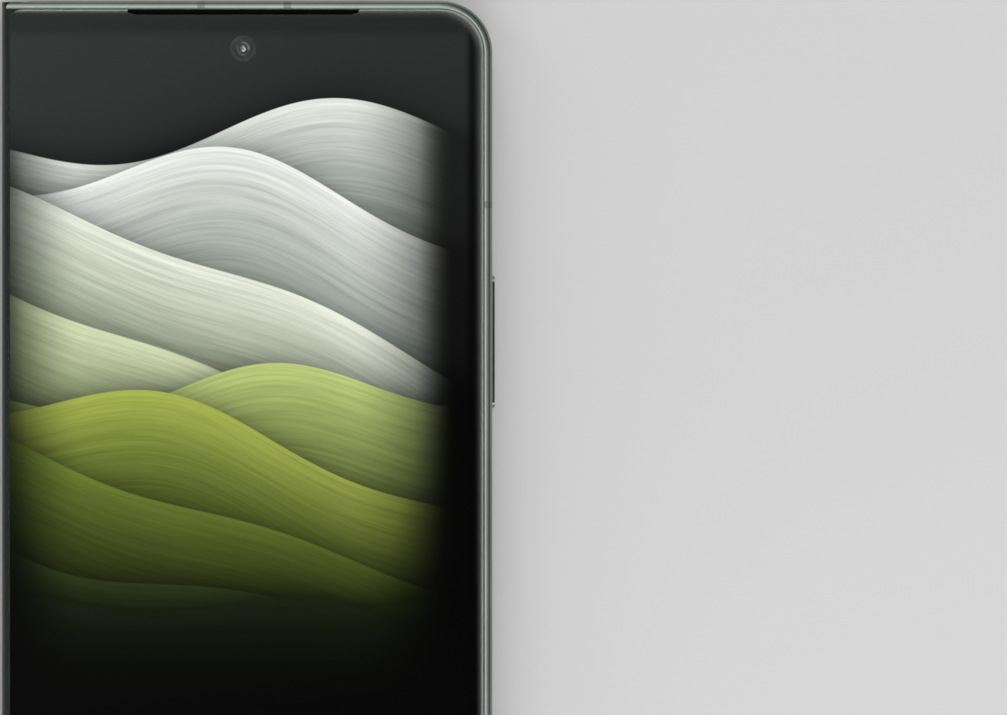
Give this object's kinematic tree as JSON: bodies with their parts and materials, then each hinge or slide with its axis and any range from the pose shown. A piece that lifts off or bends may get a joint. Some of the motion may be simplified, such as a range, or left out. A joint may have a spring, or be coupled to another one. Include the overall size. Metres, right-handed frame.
{
  "type": "foldable smartphone",
  "caption": "Book-style foldable smartphone, shut: cover screen and camera halves joined by a geared double-axis hinge with a folding inner screen.",
  "frame": {"origin": "middle of the shut phone's box, on the surface it lies on", "axes": "+Z out of the cover screen, +Y to the top edge, +X away from the hinge spine"},
  "size_m": [0.0728, 0.157, 0.013],
  "materials": {
    "frame_metal": "polished dark green anodised aluminium",
    "split_plastic": "satin plastic inserts in the rim",
    "back_glass": "dark green glass, satin",
    "deck_metal": "satin anodised deck",
    "ring_metal": "polished lens rings",
    "lens_glass": "coated dark lens glass",
    "module_black": "blackened modules",
    "flash_white": "diffusing flash lens",
    "bezel_plastic": "satin grey frame round the inner screen",
    "inner_film": "glossy protective film of the folding screen",
    "cover_glass": "clear curved glass",
    "cover_panel": "screen panel behind the cover glass",
    "board": "solder-mask green board",
    "steel": "stamped stainless steel",
    "cell_foil": "battery pouch",
    "speaker_plastic": "moulded speaker box",
    "gilt": "plated copper and bronze",
    "hinge_black": "black hinge caps"
  },
  "bodies": {
    "rear_half": {"rear_frame": "frame_metal", "rear_splits": "split_plastic", "rear_glass": "back_glass", "camera_deck": "deck_metal", "lens_rings": "ring_metal", "lens_covers": "lens_glass", "camera_modules": "module_black", "flash_lens": "flash_white", "rear_bezel": "bezel_plastic", "rear_screen": "inner_film", "inner_camera": "module_black", "main_board": "board", "shield_cans": "steel", "board_screws": "steel", "rear_battery": "cell_foil", "loudspeaker": "speaker_plastic", "haptic_motor": "steel", "charge_port": "steel", "charge_board": "board", "key_switches": "gilt", "charging_coil": "gilt", "rear_magnet": "steel", "rear_shaft": "steel", "rear_gears": "gilt"},
    "front_half": {"front_frame": "frame_metal", "front_splits": "split_plastic", "cover_glass": "cover_glass", "cover_screen": "cover_panel", "cover_camera": "module_black", "earpiece_mesh": "steel", "earpiece": "speaker_plastic", "front_bezel": "bezel_plastic", "front_screen": "inner_film", "front_battery": "cell_foil", "upper_board": "board", "front_screws": "steel", "sim_socket": "steel", "front_speaker": "speaker_plastic", "front_magnet": "steel", "front_shaft": "steel", "front_gears": "gilt"},
    "spine": {"spine_cover": "frame_metal", "end_caps": "hinge_black", "hinge_brackets": "steel", "friction_washers": "gilt", "centre_plate": "steel", "folding_screen": "inner_film"},
    "rear_idler_gears": {"rear_idlers": "gilt"},
    "front_idler_gears": {"front_idlers": "gilt"},
    "rear_swing": {"rear_swing_plate": "steel"},
    "front_swing": {"front_swing_plate": "steel"},
    "volume": {"volume_key": "frame_metal"},
    "power": {"power_key": "frame_metal"},
    "tray": {"sim_tray": "frame_metal"}
  },
  "joints": [
    {"name": "spine_fold", "type": "hinge", "parent": "rear_half", "child": "spine", "pos_m": [-0.03372, 0, 0.0055], "axis": [0, -1, 0], "range_deg": [0, 90], "deforming": ["folding_screen"]},
    {"name": "front_fold", "type": "hinge", "parent": "spine", "child": "front_half", "pos_m": [-0.03372, 0, 0.0095], "axis": [0, -1, 0], "range_deg": [0, 90]},
    {"name": "rear_idler_spin", "type": "hinge", "parent": "spine", "child": "rear_idler_gears", "pos_m": [-0.03502, 0, 0.00675], "axis": [0, -1, 0], "range_deg": [0, 126]},
    {"name": "front_idler_spin", "type": "hinge", "parent": "spine", "child": "front_idler_gears", "pos_m": [-0.03502, 0, 0.00825], "axis": [0, -1, 0], "range_deg": [-126, 0]},
    {"name": "rear_swing_tilt", "type": "hinge", "parent": "rear_half", "child": "rear_swing", "pos_m": [-0.02542, 0, 0.00648], "axis": [0, 1, 0], "range_deg": [0, 23.5]},
    {"name": "front_swing_tilt", "type": "hinge", "parent": "front_half", "child": "front_swing", "pos_m": [-0.02542, 0, 0.00852], "axis": [0, -1, 0], "range_deg": [0, 23.5]},
    {"name": "volume_rock", "type": "hinge", "parent": "rear_half", "child": "volume", "pos_m": [0.03433, 0.02825, 0.0045], "axis": [0, 0, 1], "range_deg": [-1, 1], "stiffness_Nm_per_rad": 0.4},
    {"name": "power_press", "type": "slide", "parent": "rear_half", "child": "power", "axis": [-1, 0, 0], "range_m": [0, 0.0002], "stiffness_N_per_m": 4000},
    {"name": "tray_slide", "type": "slide", "parent": "front_half", "child": "tray", "axis": [0, -1, 0], "range_m": [0, 0.018]}
  ],
  "couplings": [
    {"joint": "front_fold", "follows": "spine_fold", "ratio": 1},
    {"joint": "rear_idler_spin", "follows": "spine_fold", "ratio": 1.4},
    {"joint": "front_idler_spin", "follows": "spine_fold", "ratio": -1.4},
    {"joint": "rear_swing_tilt", "follows": "spine_fold", "ratio": 0.26111},
    {"joint": "front_swing_tilt", "follows": "spine_fold", "ratio": 0.26111}
  ]
}
